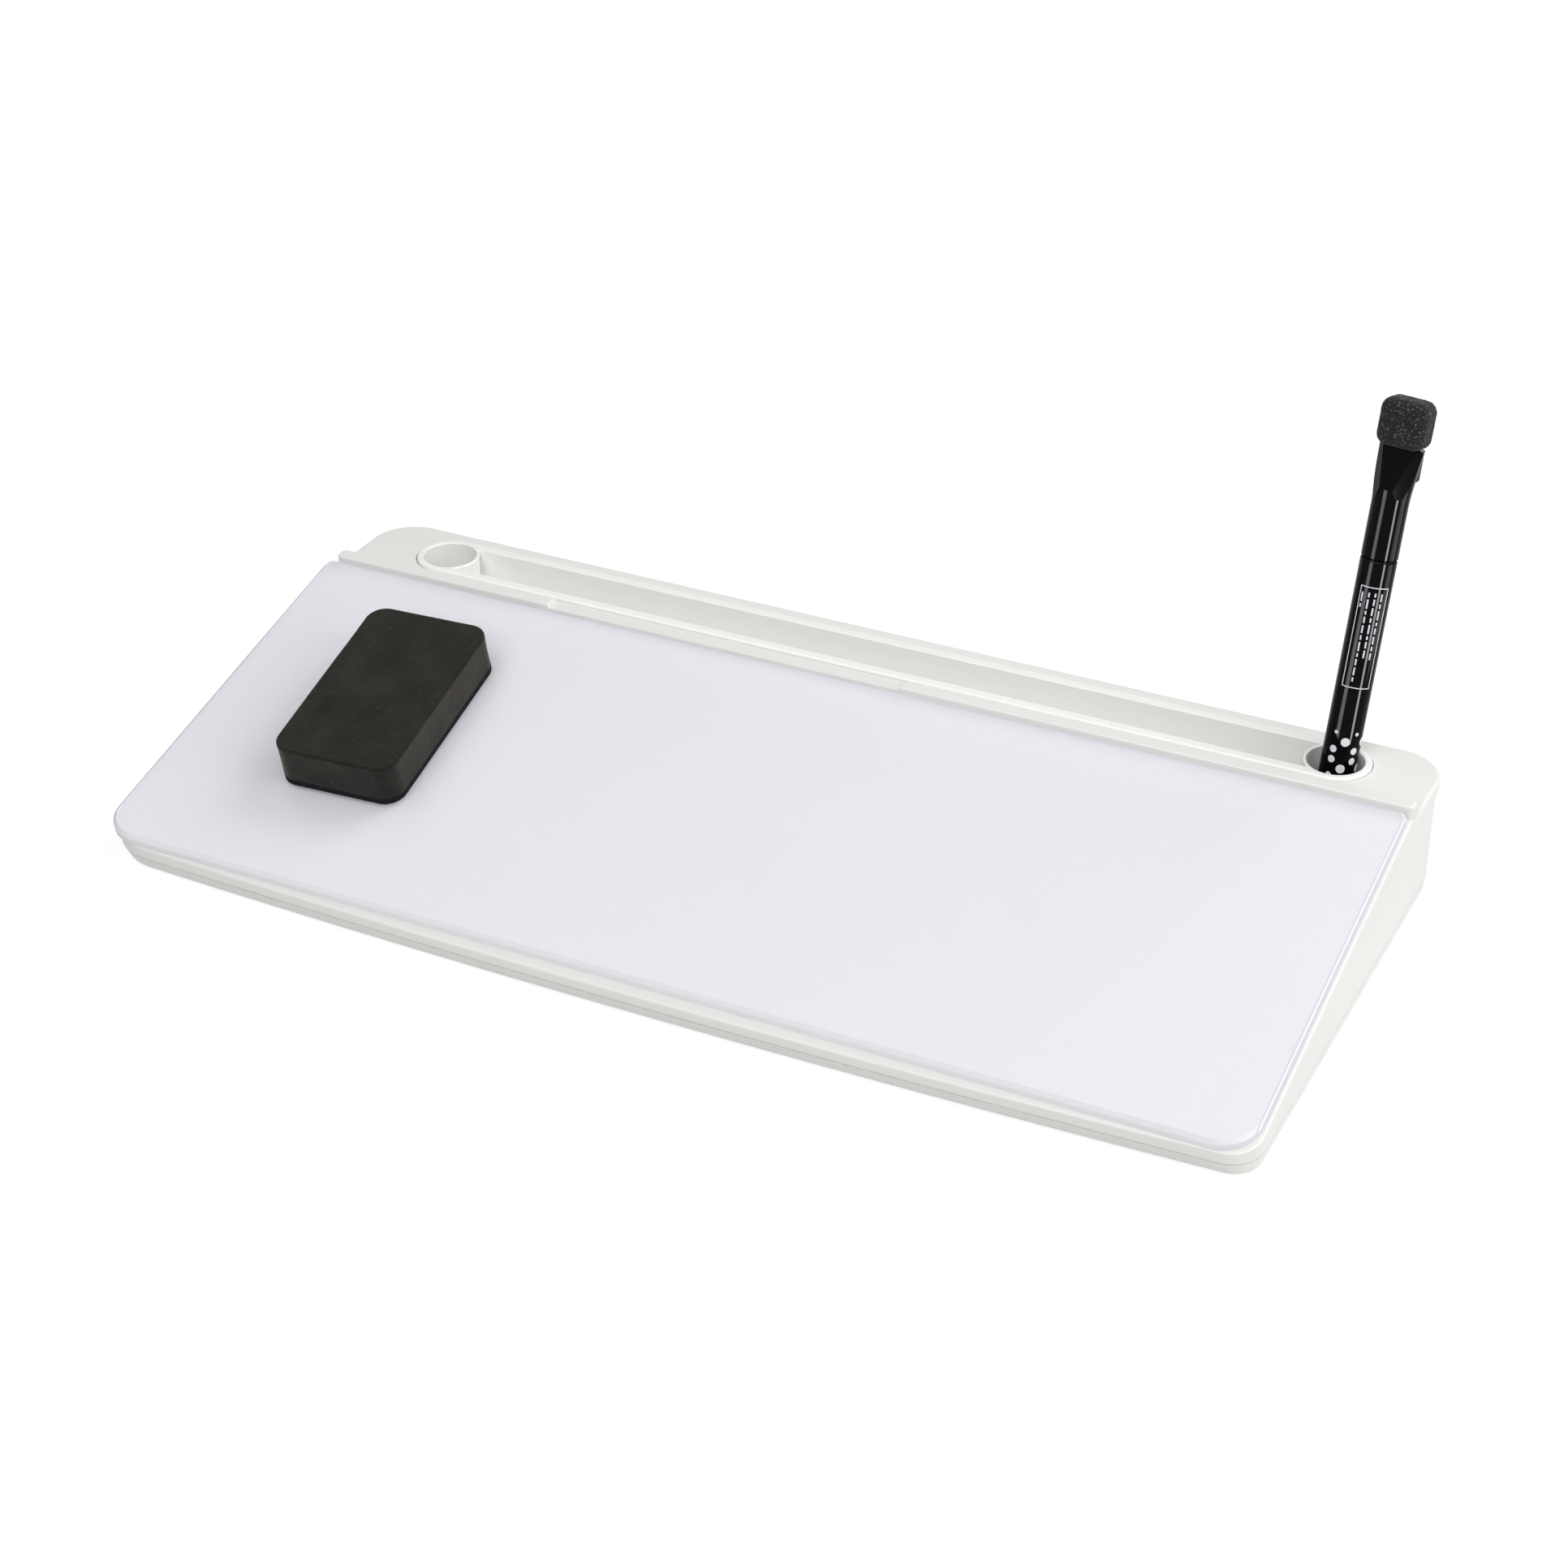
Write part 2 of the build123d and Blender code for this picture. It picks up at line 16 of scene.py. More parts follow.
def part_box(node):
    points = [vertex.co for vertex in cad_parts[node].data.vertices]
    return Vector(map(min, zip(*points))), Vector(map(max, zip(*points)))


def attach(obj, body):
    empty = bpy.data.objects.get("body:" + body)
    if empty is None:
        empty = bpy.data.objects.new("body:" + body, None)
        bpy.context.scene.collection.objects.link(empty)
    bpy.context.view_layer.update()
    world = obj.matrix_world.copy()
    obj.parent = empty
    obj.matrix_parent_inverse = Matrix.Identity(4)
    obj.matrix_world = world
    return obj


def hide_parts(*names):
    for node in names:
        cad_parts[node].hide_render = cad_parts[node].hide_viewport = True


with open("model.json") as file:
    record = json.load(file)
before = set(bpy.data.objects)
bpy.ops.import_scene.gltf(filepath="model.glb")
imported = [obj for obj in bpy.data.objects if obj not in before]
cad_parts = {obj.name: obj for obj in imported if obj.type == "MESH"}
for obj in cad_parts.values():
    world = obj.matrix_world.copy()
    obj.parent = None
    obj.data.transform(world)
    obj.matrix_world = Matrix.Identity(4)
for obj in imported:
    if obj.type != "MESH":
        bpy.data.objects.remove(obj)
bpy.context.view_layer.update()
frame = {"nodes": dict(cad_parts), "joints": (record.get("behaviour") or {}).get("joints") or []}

MM = 0.001


def in_mm(point):
    """A point or a size in millimetres, rounded for printing."""
    return [round(value / MM, 1) for value in point]


# %% [markdown]
# ## Small tools
# A colour picked on a screen is an sRGB code, but the renderer adds light in linear numbers, so one
# function turns the code into linear values. Patterns are noise in the part's own coordinates, which
# are metres, so a pattern's scale is one over the real size of its grain. Everything else goes
# through one function that adds a node with its settings and links.


# %% Colour and scale
def linear(code):
    """Linear RGBA from an sRGB hex code such as "EDEDEA", by the curve of the sRGB standard."""
    values = []
    for start in (0, 2, 4):
        channel = int(code[start:start + 2], 16) / 255
        low = channel <= 0.04045
        values.append(channel / 12.92 if low else ((channel + 0.055) / 1.055) ** 2.4)
    return (*values, 1.0)


def per_metre(size_mm):
    """Texture scale for a pattern whose grains are size_mm apart."""
    return 1 / (size_mm * MM)


print("mid grey 808080 is", round(linear("808080")[0], 3), "in linear light")


# %% One function adds a node
def add_node(owner, kind, inputs, **settings):
    """Add a node to a material or world: settings are its options, inputs its values or links."""
    made = owner.node_tree.nodes.new(kind)
    for name, value in settings.items():
        setattr(made, name, value)
    for key, value in inputs.items():
        if isinstance(value, bpy.types.NodeSocket):
            owner.node_tree.links.new(value, made.inputs[key])
        else:
            made.inputs[key].default_value = value
    return made


def connect(owner, output, target):
    owner.node_tree.links.new(output, target)


# Blender's Mix node for colours numbers its sockets, and so does its Mix Shader node.
MIX_SHARE, MIX_A, MIX_B, MIX_OUT = 0, 6, 7, 2
SHARE, SHADER_A, SHADER_B = 0, 1, 2


# %% Start, paint and hand out a material
def start_material(name, settings):
    """A material with one Principled shader. Patterns are laid out in the part's own metres."""
    material = bpy.data.materials.new(name)
    material.use_nodes = True
    shader = material.node_tree.nodes["Principled BSDF"]
    for socket, value in settings.items():
        shader.inputs[socket].default_value = value
    where = add_node(material, "ShaderNodeTexCoord", {}).outputs["Object"]
    return material, shader, where


def paint(material, shader, share, first, second):
    """Colour the surface from one sRGB code to another as share goes from 0 to 1."""
    mix = add_node(material, "ShaderNodeMix",
                   {MIX_SHARE: share, MIX_A: linear(first), MIX_B: linear(second)},
                   data_type="RGBA")
    connect(material, mix.outputs[MIX_OUT], shader.inputs["Base Color"])


def finish_nodes(material, *names):
    """Give CAD nodes their finish."""
    for name in names:
        mesh = frame["nodes"][name].data
        mesh.materials.clear()
        mesh.materials.append(material)
    print(material.name, "->", ", ".join(names))


def add_object(name, data):
    """Put a mesh, lamp or camera into the scene."""
    made = bpy.data.objects.new(name, data)
    bpy.context.scene.collection.objects.link(made)
    return made


# %% [markdown]
# ## White ABS, moulded against a spark-eroded tool
# The case is injection-moulded ABS. A spark-eroded mould leaves pits of about 0.1 mm, which break
# the highlight into an even satin. Two things make it: a bump of fine noise, and a roughness that
# drifts a little over a few centimetres, as the texture wears in the tool. 0.1 mm is under a pixel
# here, so the pits are drawn at 0.7 mm. ABS has an IOR of about 1.54.

# %% Moulded ABS
PIT_MM = 0.7
DRIFT_MM = 45
ABS_IOR = 1.54


def moulded_abs(name, tone, shade, roughness, pit_depth_mm):
    material, shader, where = start_material(name, {"IOR": ABS_IOR})
    drift = add_node(material, "ShaderNodeTexNoise",
                     {"Vector": where, "Scale": per_metre(DRIFT_MM), "Detail": 3.0}).outputs["Fac"]
    pits = add_node(material, "ShaderNodeTexNoise",
                    {"Vector": where, "Scale": per_metre(PIT_MM), "Detail": 2.0}).outputs["Fac"]
    paint(material, shader, drift, tone, shade)
    gloss = add_node(material, "ShaderNodeMapRange",
                     {"Value": drift, "To Min": roughness - 0.04, "To Max": roughness + 0.05})
    connect(material, gloss.outputs["Result"], shader.inputs["Roughness"])
    bump = add_node(material, "ShaderNodeBump",
                    {"Height": pits, "Strength": 0.35, "Distance": pit_depth_mm * MM})
    connect(material, bump.outputs["Normal"], shader.inputs["Normal"])
    return material


# %% The case and its tray
# The tray is moulded in a finer mould, so it looks a little smoother. Its colour is painted lighter
# than the case's to make up for the shade inside its trough and cups.
case_abs = moulded_abs("ABS_white_spark_textured", "EEEEEB", "EBEBE8",
                       roughness=0.42, pit_depth_mm=0.05)
tray_abs_painted_lighter = moulded_abs("ABS_white_tray_fine_texture", "F9F9F7", "F7F7F4",
                       roughness=0.36, pit_depth_mm=0.03)
finish_nodes(case_abs, "top_shell", "bottom_cover")
finish_nodes(tray_abs_painted_lighter, "tray_insert")

# %% [markdown]
# ## The glass
# The board is a real slab of clear glass with white enamel fired on its back. Painting the slab
# white would lose what the eye reads as glass: the lines of its ground edge and the shadow that
# falls on the coat 4 mm below the surface. So the slab is clear, with an IOR of 1.52, and the coat
# under it carries the colour. Its writing face is etched very finely so that it doesn't dazzle:
# the share it mirrors, about 4 %, is spread by a roughness of 0.3. Years of wiping make that
# roughness drift. The slab has two shaders for this, one that bends light and one that mirrors it.

# %% Float glass with an etched face
TILT = math.radians(13)
GLASS_IOR = 1.52
MIRROR_SHARE = 0.04
WIPE_MM = 60
board_up = Vector((0, -math.sin(TILT), math.cos(TILT)))

glass = bpy.data.materials.new("float_glass_etched_ground_edge")
glass.use_nodes = True
glass.node_tree.nodes.remove(glass.node_tree.nodes["Principled BSDF"])
where = add_node(glass, "ShaderNodeTexCoord", {}).outputs["Object"]
wiped = add_node(glass, "ShaderNodeTexNoise",
                 {"Vector": where, "Scale": per_metre(WIPE_MM), "Detail": 2.0, "Distortion": 1.5})
haze = add_node(glass, "ShaderNodeMapRange",
                {"Value": wiped.outputs["Fac"], "To Min": 0.26, "To Max": 0.34})
bent = add_node(glass, "ShaderNodeBsdfRefraction",
                {"Color": linear("FDFDFE"), "Roughness": 0.0, "IOR": GLASS_IOR})
sheen = add_node(glass, "ShaderNodeBsdfGlossy",
                 {"Color": linear("FFFFFF"), "Roughness": haze.outputs["Result"]})
face = add_node(glass, "ShaderNodeMixShader",
                {SHARE: MIRROR_SHARE, SHADER_A: bent.outputs["BSDF"], SHADER_B: sheen.outputs["BSDF"]})
print("board faces", [round(v, 3) for v in board_up])

# %% [markdown]
# ## The ground edge
# The slab's edge is ground flat, and both of its corners are broken by a narrow bevel, the arris.
# Ground glass scatters light, so the edge looks milky. On top of that its faces carry painted light
# and shade: the long sides are painted lighter than the ends to make up for their shade, the lower
# arris is painted dark as the shadow of the gap under the slab, and painted shade lines run along
# the upper arris at the ends. They could be three materials on picked faces, but how far a face
# leans from the board's own up direction tells them apart by itself: the writing face, the upper
# arris, the side and the lower arris.

# %% Tell the faces of the slab apart
FACE_LEAN = 0.95  # cosine of 18 degrees: a face that leans more is part of the edge
geometry = add_node(glass, "ShaderNodeNewGeometry", {})
facing = geometry.outputs["True Normal"]
upward = add_node(glass, "ShaderNodeVectorMath", {0: facing, 1: tuple(board_up)},
                  operation="DOT_PRODUCT").outputs["Value"]
outward = add_node(glass, "ShaderNodeSeparateXYZ", {"Vector": facing})
endward = add_node(glass, "ShaderNodeMath", {0: outward.outputs["X"]}, operation="ABSOLUTE")
lower_arris = add_node(glass, "ShaderNodeMapRange",
                       {"Value": upward, "From Min": -0.4, "From Max": -0.5})
upper_arris = add_node(glass, "ShaderNodeMapRange",
                       {"Value": upward, "From Min": 0.4, "From Max": 0.5})
lean = add_node(glass, "ShaderNodeMath", {0: upward}, operation="ABSOLUTE")
on_edge = add_node(glass, "ShaderNodeMath", {0: lean.outputs["Value"], 1: FACE_LEAN},
                   operation="LESS_THAN")
clear_lean = round(math.degrees(math.acos(FACE_LEAN)))
print("faces within", clear_lean, "degrees of the board's own plane stay clear")

# %% Painted shade lines at the ends
# These dark lines are painted shade, laid only at the two ends of the slab, so they are set by the
# distance from its middle in x.
# Each pair below is a place across the arris, from 0 inside to 1 outside, and how dark it is there.
ARRIS_MM = 1.2
PAINTED_SHADE_LINES = [(0.02, 0.0), (0.04, 1.0), (0.20, 1.0), (0.30, 0.0), (0.74, 0.0), (0.86, 1.0)]
glass_low, glass_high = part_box("glass_panel")
half_width = (glass_high.x - glass_low.x) / 2
along = add_node(glass, "ShaderNodeSeparateXYZ", {"Vector": where})
off_middle = add_node(glass, "ShaderNodeMath", {0: along.outputs["X"]}, operation="ABSOLUTE")
over_arris = add_node(glass, "ShaderNodeMapRange",
                      {"Value": off_middle.outputs["Value"],
                       "From Min": half_width - ARRIS_MM * MM, "From Max": half_width})
ramp = add_node(glass, "ShaderNodeValToRGB", {"Fac": over_arris.outputs["Result"]})
ramp.color_ramp.elements.remove(ramp.color_ramp.elements[1])
ramp.color_ramp.elements[0].color = (0, 0, 0, 1)
for position, amount in PAINTED_SHADE_LINES:
    ramp.color_ramp.elements.new(position).color = (amount, amount, amount, 1)
print("glass is", in_mm(glass_high - glass_low), "mm")

# %% Tones of the ground edge
# The long sides are painted lighter than the ends to make up for their shade, and the lower arris is
# painted dark as the shadow of the gap under the slab.
side_tone = add_node(glass, "ShaderNodeMix",
                     {MIX_SHARE: endward.outputs["Value"], MIX_A: linear("F8F8FB"),
                      MIX_B: linear("E9E8F1")}, data_type="RGBA")
arris_tone = add_node(glass, "ShaderNodeMix",
                      {MIX_SHARE: endward.outputs["Value"], MIX_A: linear("EFEEF4"),
                       MIX_B: linear("EDECF4")}, data_type="RGBA")
arris_painted_lines = add_node(glass, "ShaderNodeMix",
                 {MIX_SHARE: ramp.outputs["Color"], MIX_A: arris_tone.outputs[MIX_OUT],
                  MIX_B: linear("C9C8D2")}, data_type="RGBA")
lower_arris_painted_shadow = add_node(glass, "ShaderNodeMix",
                    {MIX_SHARE: lower_arris.outputs["Result"], MIX_A: side_tone.outputs[MIX_OUT],
                     MIX_B: linear("BFBDC8")}, data_type="RGBA")
milky_edge_and_painted_shade = add_node(glass, "ShaderNodeMix",
                      {MIX_SHARE: upper_arris.outputs["Result"], MIX_A: lower_arris_painted_shadow.outputs[MIX_OUT],
                       MIX_B: arris_painted_lines.outputs[MIX_OUT]}, data_type="RGBA")
ground = add_node(glass, "ShaderNodeBsdfDiffuse", {"Color": milky_edge_and_painted_shade.outputs[MIX_OUT]})
slab = add_node(glass, "ShaderNodeMixShader",
                {SHARE: on_edge.outputs["Value"], SHADER_A: face.outputs["Shader"],
                 SHADER_B: ground.outputs["BSDF"]})
print("the side, both arrises and the lines are toned")

# %% Let the light find the coat
# A renderer finds lamps through bent glass slowly, so rays that look for lamps pass the slab as if
# it weren't there.
path = add_node(glass, "ShaderNodeLightPath", {})
passing = add_node(glass, "ShaderNodeMath",
                   {0: path.outputs["Is Shadow Ray"], 1: path.outputs["Is Diffuse Ray"]},
                   operation="MAXIMUM")
clear = add_node(glass, "ShaderNodeBsdfTransparent", {"Color": linear("FAFAFB")})
through = add_node(glass, "ShaderNodeMixShader",
                   {SHARE: passing.outputs["Value"], SHADER_A: slab.outputs["Shader"],
                    SHADER_B: clear.outputs["BSDF"]})
output = glass.node_tree.nodes["Material Output"]
connect(glass, through.outputs["Shader"], output.inputs["Surface"])
finish_nodes(glass, "glass_panel")

# %% [markdown]
# ## Finishes with one pattern
# Many finishes need no more than two close tones and the one pattern their making leaves, at its
# real size. Noise suits what flows or rubs, and a Voronoi texture, which splits space into cells,
# suits crystals and bubbles. One function makes them all.

# %% Two tones over one pattern
CLOUDS = ("ShaderNodeTexNoise", "Fac")
CELLS = ("ShaderNodeTexVoronoi", "Distance")


def patterned(name, settings, pattern, size_mm, inputs, first, second):
    """A finish that moves between two sRGB codes over a pattern with grains of size_mm."""
    material, shader, where = start_material(name, settings)
    kind, output_name = pattern
    texture = add_node(material, kind, {"Vector": where, "Scale": per_metre(size_mm), **inputs})
    paint(material, shader, texture.outputs[output_name], first, second)
    return material


# %% [markdown]
# ## The fired white coat
# Enamel is ground glass and white pigment, printed on the back of the slab and fired until it fuses.
# It is very even, with slow clouds where the print was a little thicker, and it leans to violet.
# Air between coat and glass would act as a mirror under the slab, and the slab's edge would look
# black. The real two are fused, so a copy of the coat is set a hair inside the glass.

# %% Enamel under the glass
CLOUD_MM = 80
FUSED_MM = 0.06
enamel = patterned("enamel_white_fired", {"Roughness": 0.5, "IOR": 1.5},
                   CLOUDS, CLOUD_MM, {"Detail": 2.0}, "F2F1F6", "F0EFF4")
coat_mesh = frame["nodes"]["white_backing"].data.copy()
coat_mesh.transform(Matrix.Translation(board_up * FUSED_MM * MM))
coat_mesh.materials.clear()
coat_mesh.materials.append(enamel)
enamel_coat = add_object("enamel_coat", coat_mesh)
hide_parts("white_backing")
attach(enamel_coat, "base")
print("enamel coat", len(coat_mesh.polygons), "faces")

# %% [markdown]
# ## Parts that hold the board together
# Most of these hide under the case, but they show when the board is turned over or taken apart.
# Each gets what its own making leaves: crystals on the galvanised sheet, turning marks on the
# zinc-plated screws, small dents from tumbling on the nickel-plated magnets, closed cells in the
# foam tape, and a dull bloom on moulded rubber.

# %% Metal
SPANGLE_MM = 9
galvanised = patterned("steel_sheet_galvanised", {"Metallic": 1.0, "Roughness": 0.38},
                       CELLS, SPANGLE_MM, {}, "B6B9BC", "8E9297")
finish_nodes(galvanised, "steel_sheet")

TURNING_MM = 0.4
plated = patterned("steel_screw_zinc_plated", {"Metallic": 1.0, "Roughness": 0.28},
                   CLOUDS, TURNING_MM, {"Detail": 3.0}, "C4C6C8", "9FA2A6")
finish_nodes(plated, "case_screws")

TUMBLING_MM = 1.5
nickel = patterned("magnet_nickel_plated", {"Metallic": 1.0, "Roughness": 0.22},
                   CLOUDS, TUMBLING_MM, {"Detail": 4.0}, "D0CDC5", "A9A69E")
finish_nodes(nickel, "cap_magnet", "eraser_magnets")

# %% Tape and rubber
TAPE_CELL_MM = 0.5
tape = patterned("tape_foam_white", {"Roughness": 0.85, "IOR": 1.5},
                 CELLS, TAPE_CELL_MM, {}, "E8E7E2", "CFCEC8")
finish_nodes(tape, "mounting_tape")

BLOOM_MM = 2.5
rubber = patterned("rubber_grey_moulded", {"Roughness": 0.75, "IOR": 1.52},
                   CLOUDS, BLOOM_MM, {"Detail": 4.0}, "4C4D51", "63646A")
finish_nodes(rubber, "rubber_feet")

# %% [markdown]
# ## The marker: glossy black polypropylene
# Barrel, end plug, nib holder and cap are moulded in polished tools, so they are almost mirror
# smooth. What tells the eye it is plastic and not paint are long soft highlights with a slightly
# wavy edge, because the wall sinks a little as it cools. A shallow bump some 6 mm wide makes the
# waves, and fine handling marks change the roughness. Polypropylene's IOR is 1.49; its mirror share
# is taken down so that the pale surroundings don't wash out the black.

# %% Glossy polypropylene
SINK_MM = 6
SINK_DEPTH_MM = 0.03
HANDLING_MM = 1.2
black_pp, shader, where = start_material("polypropylene_black_polished",
                                         {"IOR": 1.49, "Specular IOR Level": 0.06})
sink = add_node(black_pp, "ShaderNodeTexNoise",
                {"Vector": where, "Scale": per_metre(SINK_MM), "Detail": 1.0}).outputs["Fac"]
handled = add_node(black_pp, "ShaderNodeTexNoise",
                   {"Vector": where, "Scale": per_metre(HANDLING_MM), "Detail": 4.0}).outputs["Fac"]
polish = add_node(black_pp, "ShaderNodeMapRange",
                  {"Value": handled, "To Min": 0.04, "To Max": 0.07})
connect(black_pp, polish.outputs["Result"], shader.inputs["Roughness"])
paint(black_pp, shader, handled, "010101", "020203")
wave = add_node(black_pp, "ShaderNodeBump",
                {"Height": sink, "Strength": 0.25, "Distance": SINK_DEPTH_MM * MM})
connect(black_pp, wave.outputs["Normal"], shader.inputs["Normal"])
GLOSSY_NODES = ("marker_barrel", "marker_end_plug", "nib_section", "cap_shell", "magnet_plate")
finish_nodes(black_pp, *GLOSSY_NODES)

# %% [markdown]
# ## Inside the marker
# The ink store is a bundle of polyester fibre that runs along the barrel, the nib is sintered
# fibre soaked with the same ink, and the seal in the cap is natural polyethylene, which looks milky
# because light goes a little way in.

# %% Fibre, nib and seal
STRAND_MM = 0.6
fibre = patterned("polyester_fibre_inked", {"Roughness": 0.9, "IOR": 1.5},
                  CLOUDS, STRAND_MM, {"Detail": 5.0}, "101116", "2A2B31")
finish_nodes(fibre, "ink_reservoir", "marker_nib")

FLOW_MM = 3
MILKY_DEPTH_MM = 2
milky = patterned("polyethylene_natural",
                  {"Roughness": 0.4, "IOR": 1.51, "Subsurface Weight": 0.2,
                   "Subsurface Radius": (MILKY_DEPTH_MM * MM,) * 3},
                  CLOUDS, FLOW_MM, {"Detail": 2.0}, "DEE0E1", "CDD0D2")
finish_nodes(milky, "cap_seal")

# %% [markdown]
# ## A mesh for die-cut foam
# The eraser, its felt and the foam head of the cap are all rounded blocks cut from sheet. A cube
# with a bevel would give long thin faces that can't carry any surface detail. Instead a flat grid is
# pressed into a rounded rectangle, its rim is rolled over with a small radius, and a wall of even
# quads joins the two grids. The faces stay near square, so noise can then push the points about.


# %% Lines of the grid
def spaced(half, rim, pitch):
    """Grid lines from -half to half: close together in the rim, evenly spaced elsewhere."""
    turns = max(4, round(rim * math.pi / 2 / pitch))
    rolled = [half - rim * (1 - math.cos(math.pi / 2 * k / turns)) for k in range(turns)]
    inner = half - rim
    count = max(2, round(2 * inner / pitch))
    middle = [-inner + 2 * inner * k / count for k in range(count + 1)]
    return [-v for v in rolled] + middle + rolled[::-1]


print("lines of a 10 mm grid:", [round(v, 1) for v in spaced(5, 1, 2)])


# %% Round its corners and roll its rim
def press_corner(x, y, half_w, half_l, corner):
    """Pull a grid point into the rounded rectangle. Also gives how far it is from the rim."""
    out_x = abs(x) - (half_w - corner)
    out_y = abs(y) - (half_l - corner)
    if out_x <= 0 or out_y <= 0:
        return x, y, corner - max(out_x, out_y)
    reach = max(out_x, out_y)
    length = math.hypot(out_x, out_y)
    pressed_x = math.copysign(half_w - corner + out_x / length * reach, x)
    pressed_y = math.copysign(half_l - corner + out_y / length * reach, y)
    return pressed_x, pressed_y, corner - reach


def rolled_drop(inset, rim):
    """How far the face has rolled down at this distance in from its rim."""
    if inset >= rim:
        return 0.0
    return rim - math.sqrt(rim * rim - (rim - max(inset, 0.0)) ** 2)


print("a rim of 1 mm drops", round(rolled_drop(0.5, 1.0), 2), "mm halfway in")


# %% Two grids and the wall between them
def grid_rim(first, wide, tall):
    """The points round the rim of a grid whose points are numbered row by row from first."""
    rim = [first + i for i in range(wide)]
    rim += [first + j * wide + wide - 1 for j in range(1, tall)]
    rim += [first + (tall - 1) * wide + i for i in range(wide - 2, -1, -1)]
    rim += [first + j * wide for j in range(tall - 2, 0, -1)]
    return rim


def wall_between(verts, rings, steps):
    """Rows of quads from the lower ring of points to the upper one. New points go into verts."""
    layers = [rings[0]]
    for k in range(1, steps):
        layer = []
        for under, over in zip(*rings):
            layer.append(len(verts))
            verts.append(tuple(Vector(verts[under]).lerp(Vector(verts[over]), k / steps)))
        layers.append(layer)
    layers.append(rings[1])
    quads = []
    for lower, upper in zip(layers, layers[1:]):
        for k in range(len(lower)):
            n = (k + 1) % len(lower)
            quads.append((lower[k], lower[n], upper[n], upper[k]))
    return quads


def foam_block(name, width, length, low, high, corner, rims, pitch):
    """A rounded block in millimetres from z = low to high; rims are the radii below and above."""
    verts, faces, rings = [], [], []
    columns = spaced(width / 2, max(rims), pitch)
    rows = spaced(length / 2, max(rims), pitch)
    wide, tall = len(columns), len(rows)
    for level, sign, rim in ((low, 1, rims[0]), (high, -1, rims[1])):
        first = len(verts)
        for y in rows:
            for x in columns:
                px, py, inset = press_corner(x, y, width / 2, length / 2, corner)
                verts.append((px, py, level + sign * rolled_drop(inset, rim)))
        for j in range(tall - 1):
            for i in range(wide - 1):
                a = first + j * wide + i
                quad = (a, a + wide, a + wide + 1, a + 1)
                faces.append(quad if sign > 0 else quad[::-1])
        rings.append(grid_rim(first, wide, tall))
    steps = max(2, round((high - low - sum(rims)) / pitch))
    faces += wall_between(verts, rings, steps)
    mesh = bpy.data.meshes.new(name)
    mesh.from_pydata(verts, [], faces)
    mesh.shade_smooth()
    print(name, len(faces), "faces")
    return add_object(name, mesh)


# %% Push its points and put it in place
def push_points(obj, depth_of):
    """Move each point inwards along its normal by depth_of(point, normal), in millimetres."""
    mesh = obj.data
    normals = [vertex.normal.copy() for vertex in mesh.vertices]
    for vertex, normal in zip(mesh.vertices, normals):
        vertex.co -= normal * depth_of(vertex.co, normal)
    mesh.update()


def noise_at(point, size_mm, seed):
    """Noise from 0 to 1 with grains of about size_mm."""
    return 0.5 + 0.5 * noise.noise(point / size_mm + Vector((seed, 0, 0)))


def place(obj, origin, x_axis, z_axis):
    """Take a mesh from its own millimetres to its place in the frame, in metres."""
    y_axis = z_axis.cross(x_axis)
    turn = Matrix((x_axis, y_axis, z_axis)).transposed().to_4x4()
    obj.data.transform(Matrix.Translation(origin) @ turn @ Matrix.Scale(MM, 4))


def centre_of(node):
    low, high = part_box(node)
    return (low + high) / 2


# %% [markdown]
# ## The eraser
# A block of black EVA foam is die-cut from a thick sheet, with a wiping felt glued under it. The
# sheet's skin makes the top smooth and dark. The cut sides are open: the blade drags them slightly
# hollow and wavy, and their cells catch light at a low angle, which is why the sides look greyer.
# That greying is what a sheen layer does.

# %% Where the eraser lies
ERASER_TURN = math.radians(2.8)
ERASER = {"width": 45.6, "length": 75.8, "height": 15.7, "felt": 2.2, "corner": 7.0}
felt_low, felt_high = 0.05, ERASER["felt"] - 0.03
across = Matrix.Rotation(ERASER_TURN, 3, board_up) @ Vector((1, 0, 0))
eraser_foot = centre_of("eraser_felt") - board_up * (felt_low + felt_high) / 2 * MM
print("eraser stands at", in_mm(eraser_foot), "mm")

# %% EVA block
PAD_EASE = 0.02  # on each side, so that the block stays inside its CAD solid
PAD_RIMS = (0.25, 0.9)
PAD_PITCH = 0.62
HOLLOW_MM = 0.14
WANDER_MM = 0.18
OPEN_CELL_MM = 0.07


def blade_hollow(point, normal):
    """The cut side is slightly hollow and wavy; the skin on top only dips a little."""
    side = 1 - abs(normal.z)
    height = (point.z - ERASER["felt"]) / (ERASER["height"] - ERASER["felt"])
    hollow = HOLLOW_MM * math.sin(math.pi * min(max(height, 0), 1)) * side
    wander = WANDER_MM * noise_at(point, size_mm=14.0, seed=3)
    cells = OPEN_CELL_MM * noise_at(point, size_mm=0.9, seed=7)
    return hollow + wander + cells


eraser_pad = foam_block("eraser_pad", ERASER["width"] - 2 * PAD_EASE, ERASER["length"] - 2 * PAD_EASE,
                        ERASER["felt"] + PAD_EASE, ERASER["height"], ERASER["corner"],
                        PAD_RIMS, PAD_PITCH)
push_points(eraser_pad, blade_hollow)
place(eraser_pad, eraser_foot, across, board_up)

